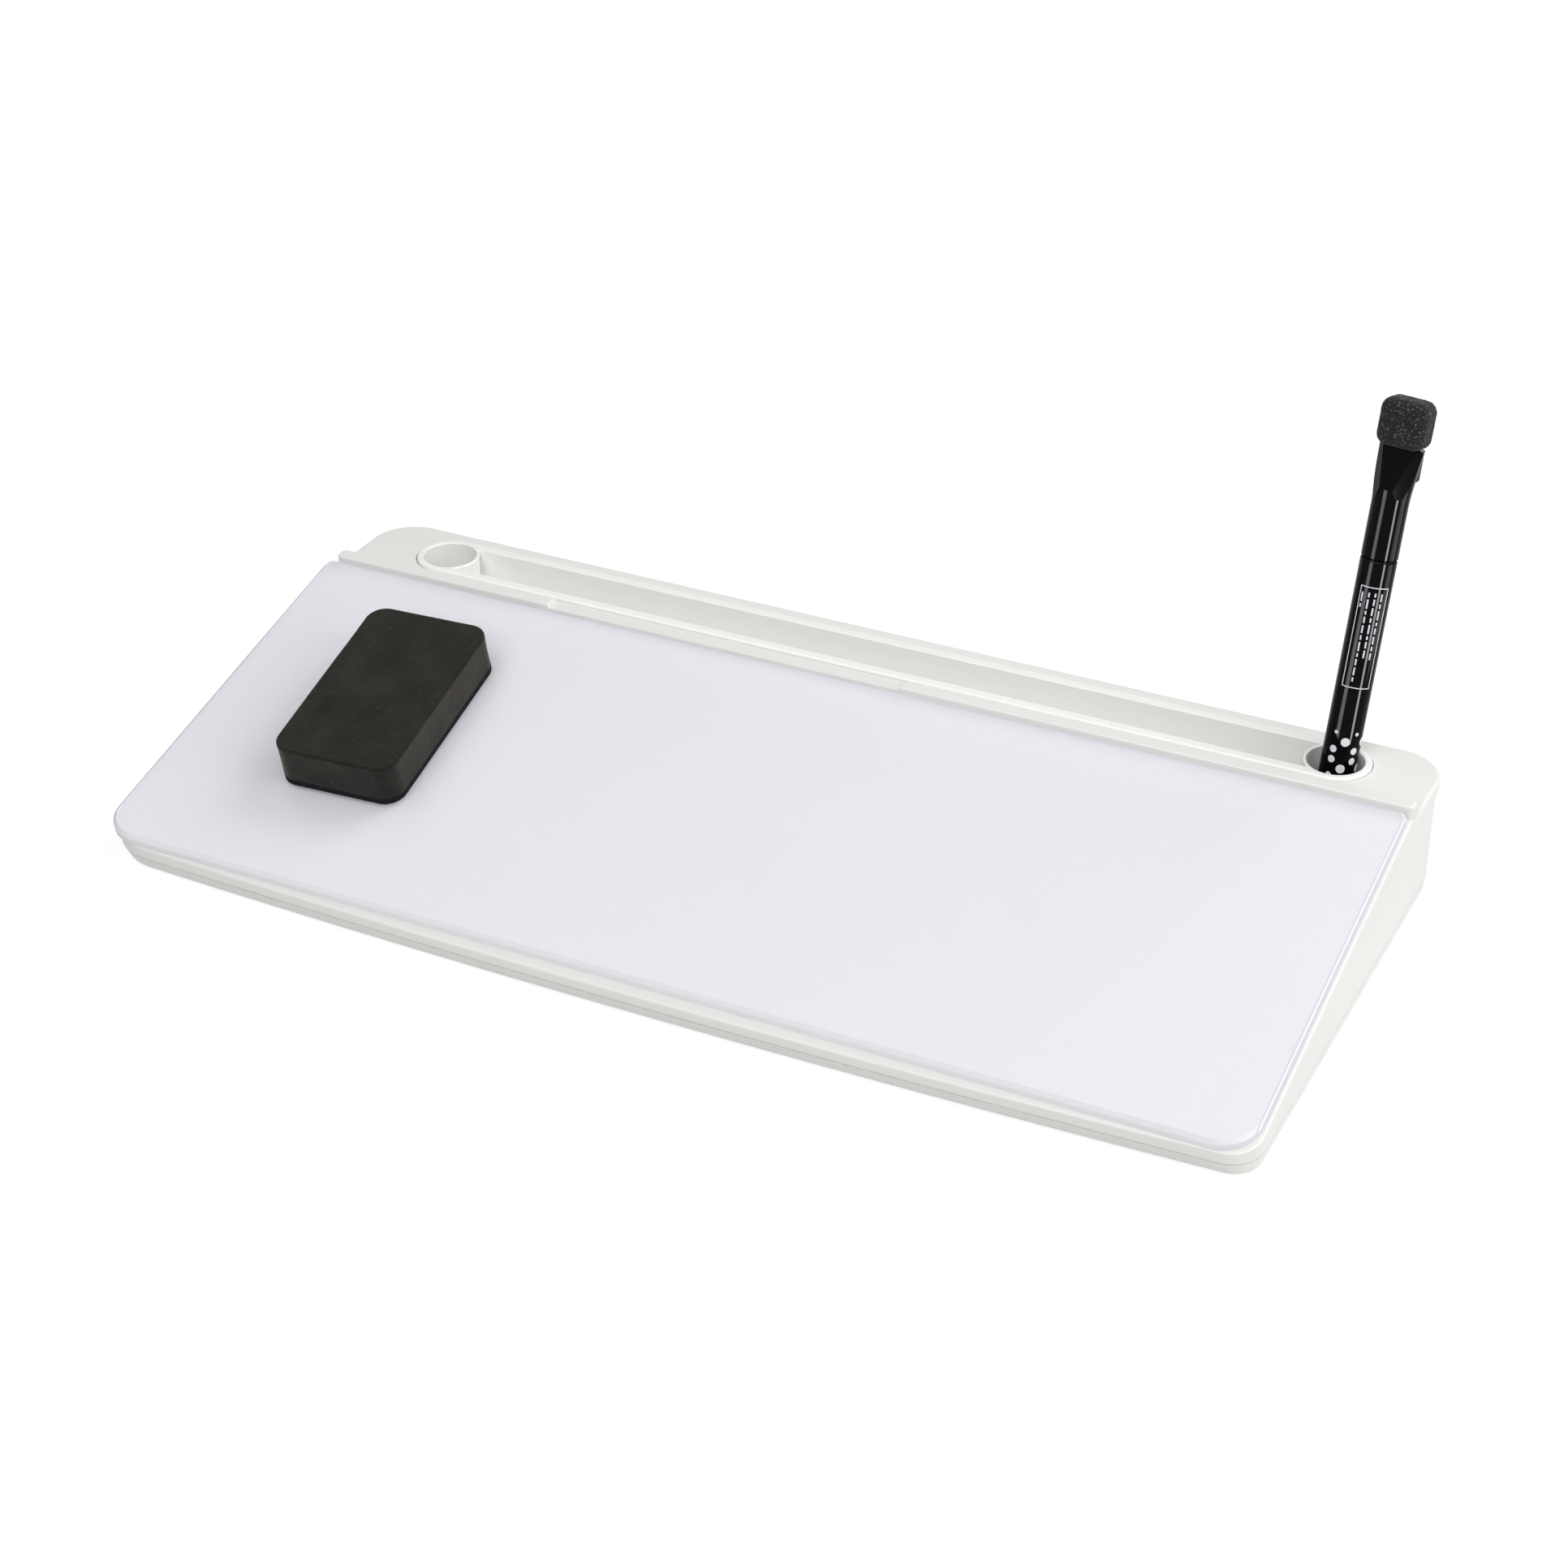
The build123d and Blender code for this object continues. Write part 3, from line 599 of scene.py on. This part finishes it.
# %% EVA colour
# Black EVA is never one black: rubbed patches and a finer grain both change it.
PATCH_MM = 12
GRAIN_MM = 1.1
eva, shader, where = start_material("EVA_foam_black_die_cut",
                                    {"Roughness": 0.86, "IOR": 1.5, "Specular IOR Level": 0.15,
                                     "Sheen Weight": 0.41, "Sheen Roughness": 0.45,
                                     "Sheen Tint": linear("C9C4BC")})
patches = add_node(eva, "ShaderNodeTexNoise",
                   {"Vector": where, "Scale": per_metre(PATCH_MM), "Detail": 4.0})
grain = add_node(eva, "ShaderNodeTexNoise",
                 {"Vector": where, "Scale": per_metre(GRAIN_MM), "Detail": 3.0, "Roughness": 0.7})
mottle = add_node(eva, "ShaderNodeMath", {0: patches.outputs["Fac"], 1: grain.outputs["Fac"]},
                  operation="ADD")
spread = add_node(eva, "ShaderNodeMapRange",
                  {"Value": mottle.outputs["Value"], "From Min": 0.75, "From Max": 1.25})
mottled = add_node(eva, "ShaderNodeMix",
                   {MIX_SHARE: spread.outputs["Result"], MIX_A: linear("0B0A08"),
                    MIX_B: linear("24221E")}, data_type="RGBA")
print("EVA is mottled at", PATCH_MM, "and", GRAIN_MM, "mm")

# %% EVA specks and cells
# A few trapped grains of chalky filler show as pale specks, a handful on the top face. The cells are
# near 0.1 mm; they are drawn at 0.6 mm so that they show.
SPECK_APART_MM = 6.5
SPECK_EDGE = 0.04  # how far a speck reaches from its middle, as a share of that distance
PORE_MM = 0.6
PORE_DEPTH_MM = 0.25
specks = add_node(eva, "ShaderNodeTexVoronoi", {"Vector": where, "Scale": per_metre(SPECK_APART_MM)})
is_speck = add_node(eva, "ShaderNodeMapRange",
                    {"Value": specks.outputs["Distance"], "From Min": SPECK_EDGE / 2,
                     "From Max": SPECK_EDGE, "To Min": 1.0, "To Max": 0.0})
speckled = add_node(eva, "ShaderNodeMix",
                    {MIX_SHARE: is_speck.outputs["Result"], MIX_A: mottled.outputs[MIX_OUT],
                     MIX_B: linear("78746C")}, data_type="RGBA")
connect(eva, speckled.outputs[MIX_OUT], shader.inputs["Base Color"])
pores = add_node(eva, "ShaderNodeTexNoise",
                 {"Vector": where, "Scale": per_metre(PORE_MM), "Detail": 3.0})
pitted = add_node(eva, "ShaderNodeBump", {"Height": pores.outputs["Fac"], "Strength": 0.8,
                                          "Distance": PORE_DEPTH_MM * MM})
connect(eva, pitted.outputs["Normal"], shader.inputs["Normal"])
print("specks are", round(2 * SPECK_EDGE * SPECK_APART_MM, 2), "mm wide at most")

# %% Hand over the EVA block
eraser_pad.data.materials.append(eva)
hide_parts("eraser_foam")
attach(eraser_pad, "eraser")
print("eraser pad is on the eraser body")

# %% [markdown]
# ## The wiping felt
# Needled felt has no clean edge: short fibres stand out all round. At this size the fringe reads as
# a dark, slightly ragged line, so the felt's rim is pushed in and out by noise at about 1 mm. Its
# fibres drink the light, so it shines less than the foam.

# %% Felt block
WIPER_EASE = 0.01
WIPER_RIMS = (0.3, 0.2)
WIPER_PITCH = 0.7
FRINGE_MM = 0.5
NAP_MM = 0.03


def ragged(point, normal):
    """The fringe is deep on the cut side and shallow on the flat faces."""
    fringe = (1 - abs(normal.z)) * FRINGE_MM * noise_at(point, size_mm=1.1, seed=11)
    return fringe + NAP_MM * noise_at(point, size_mm=0.8, seed=5)


eraser_wiper = foam_block("eraser_wiper", ERASER["width"] - 2 * WIPER_EASE,
                          ERASER["length"] - 2 * WIPER_EASE, felt_low, felt_high,
                          ERASER["corner"], WIPER_RIMS, WIPER_PITCH)
push_points(eraser_wiper, ragged)
place(eraser_wiper, eraser_foot, across, board_up)

# %% Felt finish
FIBRE_MM = 0.5
FIBRE_DEPTH_MM = 0.2
felt, shader, where = start_material("felt_needled_black",
                                     {"Roughness": 0.95, "IOR": 1.5, "Specular IOR Level": 0.1,
                                      "Sheen Weight": 0.04, "Sheen Roughness": 0.6})
fibres = add_node(felt, "ShaderNodeTexNoise",
                  {"Vector": where, "Scale": per_metre(FIBRE_MM), "Detail": 5.0, "Distortion": 2.0})
paint(felt, shader, fibres.outputs["Fac"], "08080D", "141419")
nap = add_node(felt, "ShaderNodeBump", {"Height": fibres.outputs["Fac"], "Strength": 0.8,
                                        "Distance": FIBRE_DEPTH_MM * MM})
connect(felt, nap.outputs["Normal"], shader.inputs["Normal"])
eraser_wiper.data.materials.append(felt)
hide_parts("eraser_felt")
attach(eraser_wiper, "eraser")
print("felt is on the eraser body")

# %% [markdown]
# ## The marker's axis
# The marker leans in its cup. The slide joint that draws it out runs along that same axis, so its
# direction is read from the joint, and the barrel's box is centred on a point of the axis.

# %% Marker frame
MARKER = {"radius": 5.95, "barrel_low": 3.2, "barrel_high": 96.2}
pull = next(joint for joint in frame["joints"] if joint["name"] == "marker_pull")
marker_up = Vector(pull["axis"]).normalized()
lean_way = Vector((marker_up.x, marker_up.y, 0)).normalized()
marker_side = Vector((lean_way.y, -lean_way.x, 0))
barrel_middle = (MARKER["barrel_low"] + MARKER["barrel_high"]) / 2
marker_foot = centre_of("marker_barrel") - marker_up * barrel_middle * MM
print("marker foot", in_mm(marker_foot), "mm")

# %% [markdown]
# ## The foam head
# The cap ends in a block of open-cell foam for wiping out small mistakes. Open cells are coarse
# enough to see, so they are real points in the mesh as well as a bump. Torn cell walls catch the
# light, and these glints are painted into the colour as pale flecks.

# %% Foam head
HEAD = {"width": 16.4, "height": 15.8, "depth": 11.4, "corner": 3.9, "rim": 3.3}
HEAD_PITCH = 0.42
COARSE_CELL_MM, FINE_CELL_MM = 0.16, 0.1


def open_cells(point, normal):
    """Cells of two sizes, as in a foam whose bubbles have run together."""
    return (COARSE_CELL_MM * noise_at(point, size_mm=1.3, seed=2)
            + FINE_CELL_MM * noise_at(point, size_mm=0.6, seed=9))


foam_head = foam_block("foam_head", HEAD["width"], HEAD["height"], -HEAD["depth"] / 2,
                       HEAD["depth"] / 2, HEAD["corner"], (HEAD["rim"], HEAD["rim"]), HEAD_PITCH)
push_points(foam_head, open_cells)
place(foam_head, centre_of("cap_foam"), marker_side, -(marker_up.cross(marker_side)))

# %% Open-cell foam finish
CELL_WALL_MM = 0.75
CELL_WALL_DEPTH_MM = 0.3
cell_foam, shader, where = start_material("PU_foam_open_cell_charcoal",
                                          {"Roughness": 0.95, "IOR": 1.5,
                                           "Specular IOR Level": 0.3,
                                           "Sheen Weight": 0.06, "Sheen Roughness": 0.5})
walls = add_node(cell_foam, "ShaderNodeTexNoise", {"Vector": where, "Detail": 4.0, "Roughness": 0.7,
                                                   "Scale": per_metre(CELL_WALL_MM)})
# The pale flecks are painted glints, laid where the cell-wall noise is high.
painted_glints = add_node(cell_foam, "ShaderNodeMapRange",
                 {"Value": walls.outputs["Fac"], "From Min": 0.56, "From Max": 0.74})
paint(cell_foam, shader, painted_glints.outputs["Result"], "1B1A19", "A39D96")
torn = add_node(cell_foam, "ShaderNodeBump", {"Height": walls.outputs["Fac"], "Strength": 0.9,
                                              "Distance": CELL_WALL_DEPTH_MM * MM})
connect(cell_foam, torn.outputs["Normal"], shader.inputs["Normal"])
foam_head.data.materials.append(cell_foam)
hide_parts("cap_foam")
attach(foam_head, "cap")
print("foam head is on the cap body")

# %% [markdown]
# ## Print on the barrel
# Screen print is a film of ink a few hundredths of a millimetre thick that follows the barrel. Each
# mark is a small patch of mesh wrapped round the cylinder, just above it. The print is a plain ruled
# panel and a group of dots that repeats round part of the barrel's foot. The ink covers well but not
# quite evenly, so its white is faintly dusty.

# %% Ink
INK_LIFT = 0.03
DUSTING_MM = 0.8
ink = patterned("screen_ink_white", {"Roughness": 0.45, "IOR": 1.5},
                CLOUDS, DUSTING_MM, {"Detail": 3.0}, "EEF1F5", "D9DEE6")
print("ink film is", INK_LIFT, "mm thick")


# %% From flat marks to the barrel
def arc(degrees):
    """Millimetres round the barrel for an angle at its axis."""
    return math.radians(degrees) * MARKER["radius"]


def on_barrel(turn, height):
    """A point of the ink film: turn is the arc from the front of the lean, both in millimetres."""
    angle = turn / MARKER["radius"]
    reach = MARKER["radius"] + INK_LIFT
    return (reach * math.sin(angle), -reach * math.cos(angle), height)


def printed(name, marks):
    """One printed piece. Each mark is a strip of rows of flat (turn, height) points."""
    verts, faces = [], []
    for mark in marks:
        first, wide = len(verts), len(mark[0])
        for row in mark:
            verts.extend(on_barrel(turn, height) for turn, height in row)
        for j in range(len(mark) - 1):
            for i in range(wide - 1):
                a = first + j * wide + i
                faces.append((a, a + 1, a + wide + 1, a + wide))
    mesh = bpy.data.meshes.new(name)
    mesh.from_pydata(verts, [], faces)
    mesh.materials.append(ink)
    mesh.shade_smooth()
    made = add_object(name, mesh)
    place(made, marker_foot, marker_side, marker_up)
    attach(made, "marker")
    print(name, len(faces), "faces")


# %% Bars and dots
BAR_PITCH = 0.5
DOT_ROWS, DOT_COLUMNS = 20, 8
DOT_TIP = 0.002  # half the width of a dot's first and last row, so that no face has zero area


def bar(turn0, turn1, low, high):
    """A straight bar as a strip fine enough to follow the curve."""
    count = max(1, math.ceil((turn1 - turn0) / BAR_PITCH))
    columns = [turn0 + (turn1 - turn0) * k / count for k in range(count + 1)]
    return [[(turn, level) for turn in columns] for level in (low, high)]


def dot(turn, height, radius):
    """A disc as rows of points from its lower to its upper edge."""
    rows = []
    for j in range(DOT_ROWS + 1):
        angle = math.pi * j / DOT_ROWS
        half = max(radius * math.sin(angle), DOT_TIP)
        level = height - radius * math.cos(angle)
        rows.append([(turn + half * (2 * i / DOT_COLUMNS - 1), level)
                     for i in range(DOT_COLUMNS + 1)])
    return rows


# %% Band of dots
# Columns of four and of two dots take turns. Each dot is its height on the barrel and its radius.
COLUMN_STEP = arc(34.2)
FIRST_COLUMN = arc(-4.4)
COLUMNS = 7
FOUR_DOTS = [(38.35, 0.64), (32.55, 1.2), (29.05, 1.2), (23.6, 1.0)]
TWO_DOTS = [(35.5, 1.49), (26.3, 1.49)]
dots = []
for k in range(COLUMNS):
    for height, radius in (FOUR_DOTS if k % 2 == 0 else TWO_DOTS):
        dots.append(dot(FIRST_COLUMN + k * COLUMN_STEP, height, radius))
printed("printed_dots", dots)

# %% Outline of the ruled panel
PANEL = {"left": arc(-18.7), "right": arc(74.2), "low": 53.9, "high": 87.9}
LINE = 0.32
panel = [
    bar(PANEL["left"], PANEL["right"], PANEL["low"], PANEL["low"] + LINE),
    bar(PANEL["left"], PANEL["right"], PANEL["high"] - LINE, PANEL["high"]),
    bar(PANEL["left"], PANEL["left"] + LINE, PANEL["low"], PANEL["high"]),
    bar(PANEL["right"] - LINE, PANEL["right"], PANEL["low"], PANEL["high"]),
]
print("panel is", round(PANEL["right"] - PANEL["left"], 1), "mm round the barrel")

# %% Rows of dashes inside it
# Plain dashes of a few lengths stand where a maker's note would be. Each row is its angle on the
# barrel and the heights between which it runs down.
DASHES = (2.6, 1.5, 3.1, 1.2, 2.1)
DASH_HALF_WIDTH = 0.26
DASH_GAP = 0.75
SHORTEST_DASH = 1.0
ROWS = [(53.4, 86.0, 63.9), (32.4, 86.0, 63.9), (13.0, 86.0, 56.1), (-8.6, 85.8, 79.0)]
count = 0
for degrees, top, end in ROWS:
    middle = arc(degrees)
    while top - end > SHORTEST_DASH:
        low_end = max(end, top - DASHES[count % len(DASHES)])
        panel.append(bar(middle - DASH_HALF_WIDTH, middle + DASH_HALF_WIDTH, low_end, top))
        top = low_end - DASH_GAP
        count += 1
printed("printed_panel", panel)

# %% [markdown]
# ## The studio
# The board stands on a plain white sweep. The floor is drawn white wherever the camera sees it,
# straight, in a reflection or through glass, while light that bounces off it finds plain matt paper.
# Near the board it keeps a trace of the shadow, and further out it fades to plain white.


# %% Rays that look
def looked_at(owner):
    """1 for a ray from the camera, off a mirror or through glass, and 0 for one that lights."""
    ray = add_node(owner, "ShaderNodeLightPath", {})
    shiny = add_node(owner, "ShaderNodeMath",
                     {0: ray.outputs["Is Camera Ray"], 1: ray.outputs["Is Glossy Ray"]},
                     operation="MAXIMUM")
    any_look = add_node(owner, "ShaderNodeMath",
                        {0: shiny.outputs["Value"], 1: ray.outputs["Is Transmission Ray"]},
                        operation="MAXIMUM")
    return any_look.outputs["Value"]


# %% Floor
FLOOR_SIZE = 8.0
FLOOR_GLOW = 0.80
FADE_FROM, FADE_TO = 0.28, 0.5
reach = FLOOR_SIZE / 2
corners = [(-reach, -reach, 0), (reach, -reach, 0), (reach, reach, 0), (-reach, reach, 0)]
floor_mesh = bpy.data.meshes.new("floor")
floor_mesh.from_pydata(corners, [], [(0, 1, 2, 3)])
floor = add_object("floor", floor_mesh)
print("floor is", FLOOR_SIZE, "m wide")

# %% Paper sweep
paper = bpy.data.materials.new("paper_sweep_white")
paper.use_nodes = True
paper.node_tree.nodes.clear()
matt = add_node(paper, "ShaderNodeBsdfDiffuse", {"Color": linear("E4E4E4")})
shaded = add_node(paper, "ShaderNodeBsdfDiffuse", {"Color": linear("959595")})
glow = add_node(paper, "ShaderNodeEmission", {"Color": linear("FFFFFF"), "Strength": FLOOR_GLOW})
near = add_node(paper, "ShaderNodeAddShader", {0: shaded.outputs["BSDF"], 1: glow.outputs["Emission"]})
spot = add_node(paper, "ShaderNodeTexCoord", {}).outputs["Object"]
away = add_node(paper, "ShaderNodeVectorMath", {0: spot}, operation="LENGTH")
faded = add_node(paper, "ShaderNodeMapRange",
                 {"Value": away.outputs["Value"], "From Min": FADE_FROM, "From Max": FADE_TO})
white = add_node(paper, "ShaderNodeEmission", {"Color": linear("FFFFFF"), "Strength": 1.0})
seen = add_node(paper, "ShaderNodeMixShader",
                {SHARE: faded.outputs["Result"], SHADER_A: near.outputs["Shader"],
                 SHADER_B: white.outputs["Emission"]})
either = add_node(paper, "ShaderNodeMixShader",
                  {SHARE: looked_at(paper), SHADER_A: matt.outputs["BSDF"],
                   SHADER_B: seen.outputs["Shader"]})
add_node(paper, "ShaderNodeOutputMaterial", {"Surface": either.outputs["Shader"]})
floor_mesh.materials.append(paper)
print("the sweep fades to white from", FADE_FROM, "to", FADE_TO, "m")

# %% World
ROOM_LIGHT = 0.05
world = bpy.data.worlds.new("studio")
bpy.context.scene.world = world
world.use_nodes = True
world.node_tree.nodes.clear()
room = add_node(world, "ShaderNodeBackground", {"Color": linear("FFFFFF"), "Strength": ROOM_LIGHT})
white = add_node(world, "ShaderNodeBackground", {"Color": linear("FFFFFF"), "Strength": 1.0})
either = add_node(world, "ShaderNodeMixShader",
                  {SHARE: looked_at(world), SHADER_A: room.outputs["Background"],
                   SHADER_B: white.outputs["Background"]})
add_node(world, "ShaderNodeOutputWorld", {"Surface": either.outputs["Shader"]})
print("room light", ROOM_LIGHT)

# %% [markdown]
# ## Soft boxes
# The light is that of a product table. Large soft boxes at the front, at the writer's right and
# behind on the right make the right wall the brightest and let the light fall off slowly to the
# left, where a small one lifts the shadows. The camera doesn't see the boxes.


# %% A soft box
def direction(azimuth, elevation):
    """Unit vector towards a light: azimuth 0 is the writer's side, 90 is the writer's right."""
    turn, lift = math.radians(azimuth), math.radians(elevation)
    return Vector((math.sin(turn) * math.cos(lift), -math.cos(turn) * math.cos(lift), math.sin(lift)))


def soft_box(name, azimuth, elevation, distance, width, height, watts, aim, only_on=None):
    """A lamp panel that faces aim. With only_on it lights that collection alone."""
    lamp = bpy.data.lights.new(name, "AREA")
    lamp.shape = "RECTANGLE"
    lamp.size = width
    lamp.size_y = height
    lamp.energy = watts
    made = add_object(name, lamp)
    made.location = Vector(aim) + direction(azimuth, elevation) * distance
    made.rotation_euler = (made.location - Vector(aim)).to_track_quat("Z", "Y").to_euler()
    made.visible_camera = False
    if only_on:
        made.light_linking.receiver_collection = only_on
    print(name, "at", [round(v, 2) for v in made.location], watts, "W")


# %% Lights of the board
# Each row is a name, azimuth and elevation in degrees, distance, width and height in metres, and
# the power in watts.
BOARD_MIDDLE = (0.0, 0.0, 0.02)
BOARD_LIGHTS = (
    ("key_right", 78, 38, 1.7, 1.0, 1.2, 7.0),
    ("top_front", 6, 50, 1.6, 1.2, 1.2, 15.1),
    ("fill_top_left", -60, 58, 1.1, 0.6, 0.6, 1.0),
    ("low_right", 95, 12, 1.6, 1.0, 0.6, 4.2),
    ("rear_right", 140, 50, 1.6, 1.0, 1.0, 9.4),
)
for row in BOARD_LIGHTS:
    soft_box(*row, aim=BOARD_MIDDLE)

# %% Shine on the marker
# Black gloss shows only what it mirrors, so three strips stand round the marker and light it alone.
# The rows are as above.
MARKER_STRIPS = (
    ("strip_right", 54, -8, 0.22, 0.042, 0.30, 2.6),
    ("strip_side", 95, -8, 0.22, 0.12, 0.30, 0.8),
    ("strip_left", -27, -8, 0.22, 0.08, 0.30, 1.7),
)
STRIPS_UP_MM = 75
glossy_pieces = bpy.data.collections.new("glossy_pieces")
for name in GLOSSY_NODES:
    glossy_pieces.objects.link(frame["nodes"][name])
marker_middle = marker_foot + marker_up * STRIPS_UP_MM * MM
for row in MARKER_STRIPS:
    soft_box(*row, aim=marker_middle, only_on=glossy_pieces)

# %% [markdown]
# ## The camera
# It looks down on the board from the writer's right with a moderately long lens, so that the far
# corners stay in proportion.

# %% Camera
CAMERA = {"azimuth": 26.19, "elevation": 31.24, "distance": 1.0643, "roll": -0.22, "lens": 74.23}
SENSOR_WIDTH = 36.0
AIM = Vector((0.0022, 0.0001, 0.0266))
lens = bpy.data.cameras.new("portrait")
lens.lens = CAMERA["lens"]
lens.sensor_width = SENSOR_WIDTH
camera = add_object("portrait", lens)
camera.location = AIM + direction(CAMERA["azimuth"], CAMERA["elevation"]) * CAMERA["distance"]
look = (camera.location - AIM).to_track_quat("Z", "Y").to_matrix()
roll = Matrix.Rotation(math.radians(CAMERA["roll"]), 3, "Z")
camera.rotation_euler = (look @ roll).to_euler()
bpy.context.scene.camera = camera
bpy.context.scene.view_settings.view_transform = "Standard"
print("camera at", [round(v, 3) for v in camera.location])
